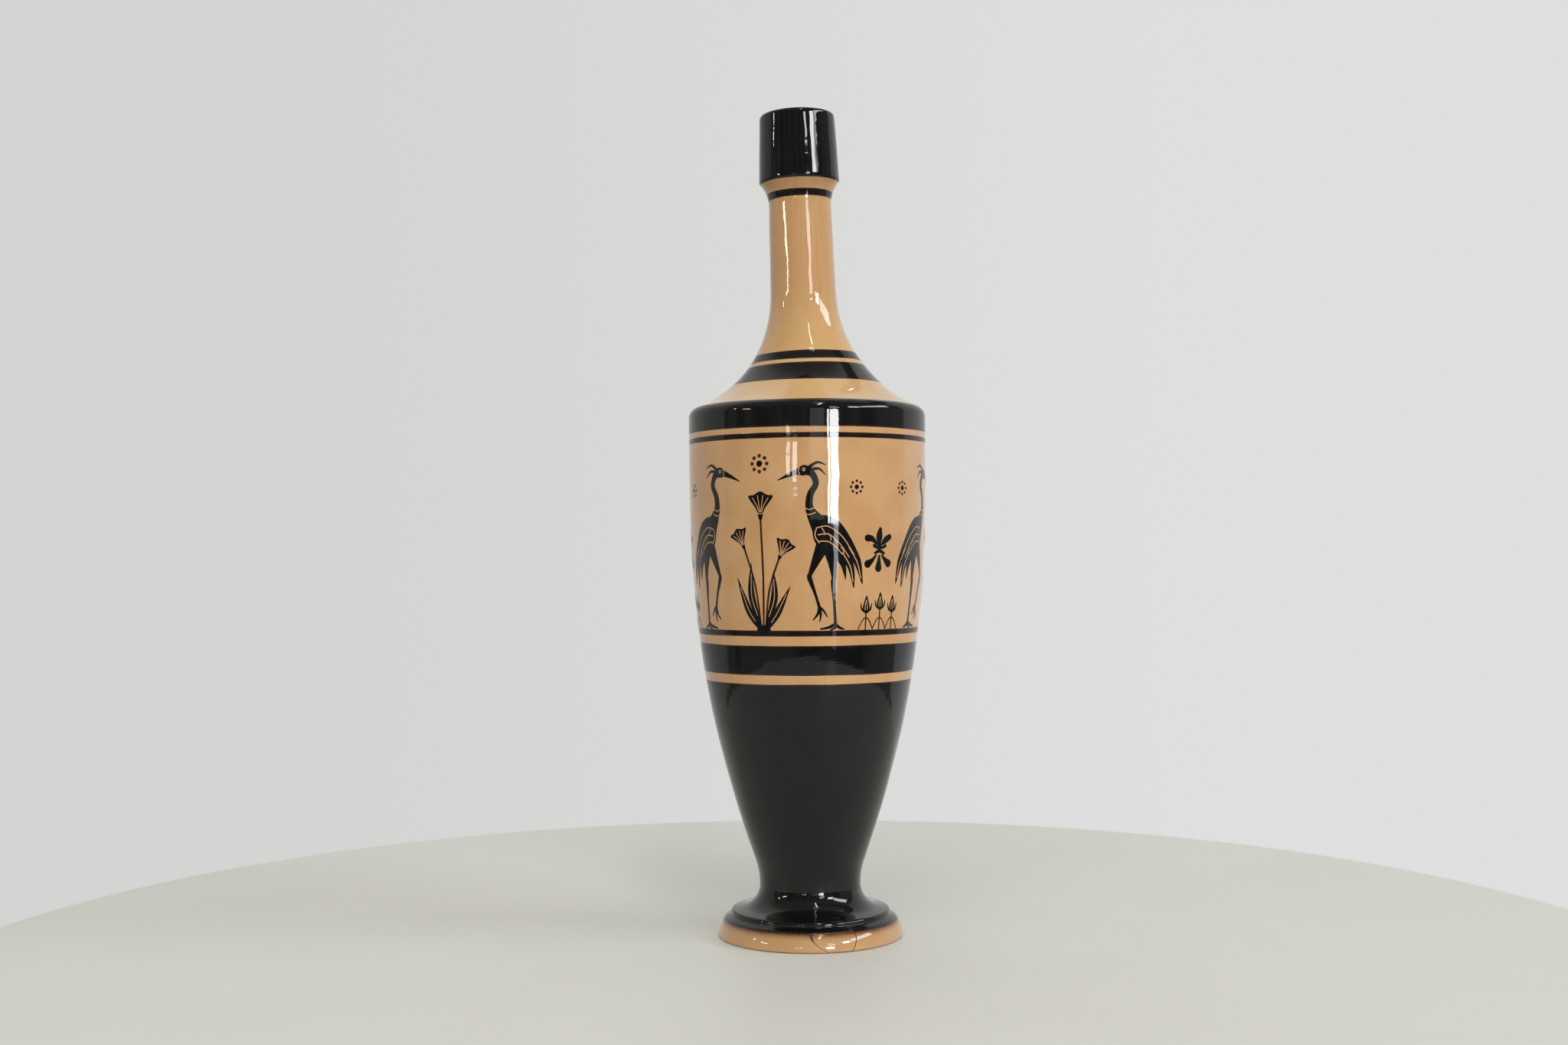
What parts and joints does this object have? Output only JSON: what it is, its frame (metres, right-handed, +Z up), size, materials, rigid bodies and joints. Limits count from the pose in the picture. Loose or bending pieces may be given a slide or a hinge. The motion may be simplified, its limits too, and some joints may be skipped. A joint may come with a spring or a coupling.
{
  "type": "lekythos",
  "caption": "Tall slender glazed ceramic flask with a disc foot, sloping shoulder, slim leaning neck and collar mouth, stopped with a tapered cork; holds and pours oil or spirits.",
  "frame": {"origin": "centre of the resting ring under the foot", "axes": "+Z up along the body, -Y the front with the painted field, +X to the right; the neck leans towards -X"},
  "size_m": [0.0948, 0.0948, 0.3286],
  "materials": {
    "buff_glaze": "clear gloss glaze over buff slip with black painting",
    "black_glaze": "gloss black glaze",
    "slip": "fired luting slip, matt",
    "glue": "old darkened glue",
    "cork": "bare cork"
  },
  "bodies": {
    "flask": {"foot": "black_glaze", "foot_shard": "buff_glaze", "shard_glue": "glue", "foot_slip": "slip", "body": "buff_glaze", "neck_slip": "slip", "neck": "buff_glaze", "mouth_slip": "slip", "mouth": "black_glaze"},
    "cork": {"cork_stopper": "cork"}
  },
  "joints": [
    {"name": "cork_pull", "type": "slide", "parent": "flask", "child": "cork", "axis": [-0.0297, 0, 0.9996], "range_m": [0, 0.04]}
  ]
}
